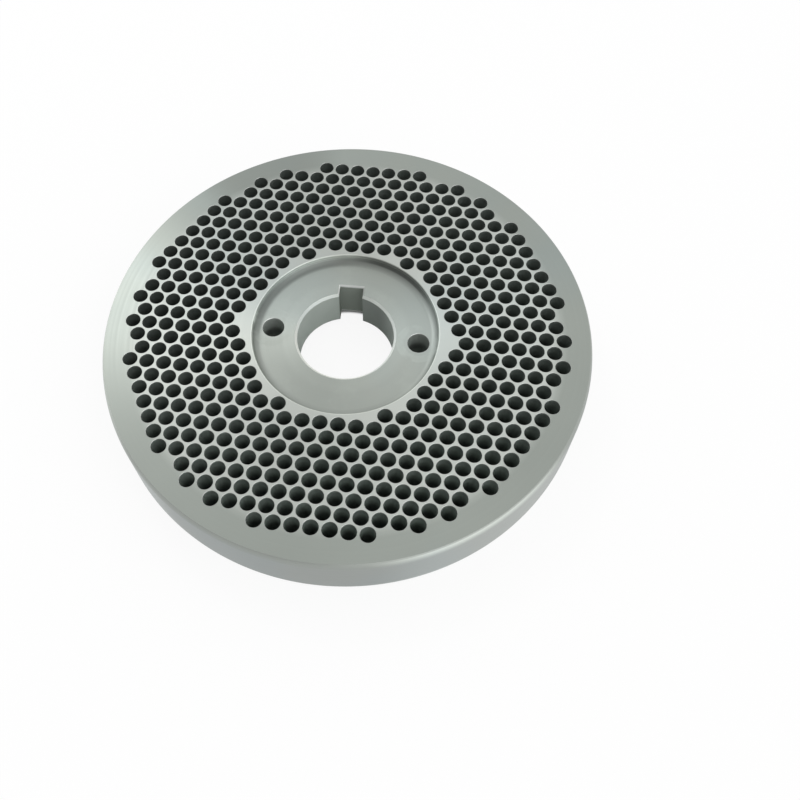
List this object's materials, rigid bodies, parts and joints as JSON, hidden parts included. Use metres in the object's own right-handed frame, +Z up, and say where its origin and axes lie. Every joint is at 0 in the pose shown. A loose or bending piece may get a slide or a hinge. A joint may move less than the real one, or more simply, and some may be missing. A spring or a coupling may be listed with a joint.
{
  "type": "pellet mill die",
  "caption": "Flat round steel die with a ring of close-set pellet holes, and a recessed, keyed shaft bore between two hub holes.",
  "frame": {"origin": "centre of the underside, on the axis of the bore", "axes": "+Z up through the thickness, along the bore's axis; X through the centres of the two hub holes; the keyway is near +Y"},
  "size_m": [0.2, 0.2, 0.026],
  "materials": {
    "turned_steel": "bare steel, turned to a satin face and drilled"
  },
  "bodies": {
    "root": {"pellet_die": "turned_steel"}
  },
  "joints": []
}
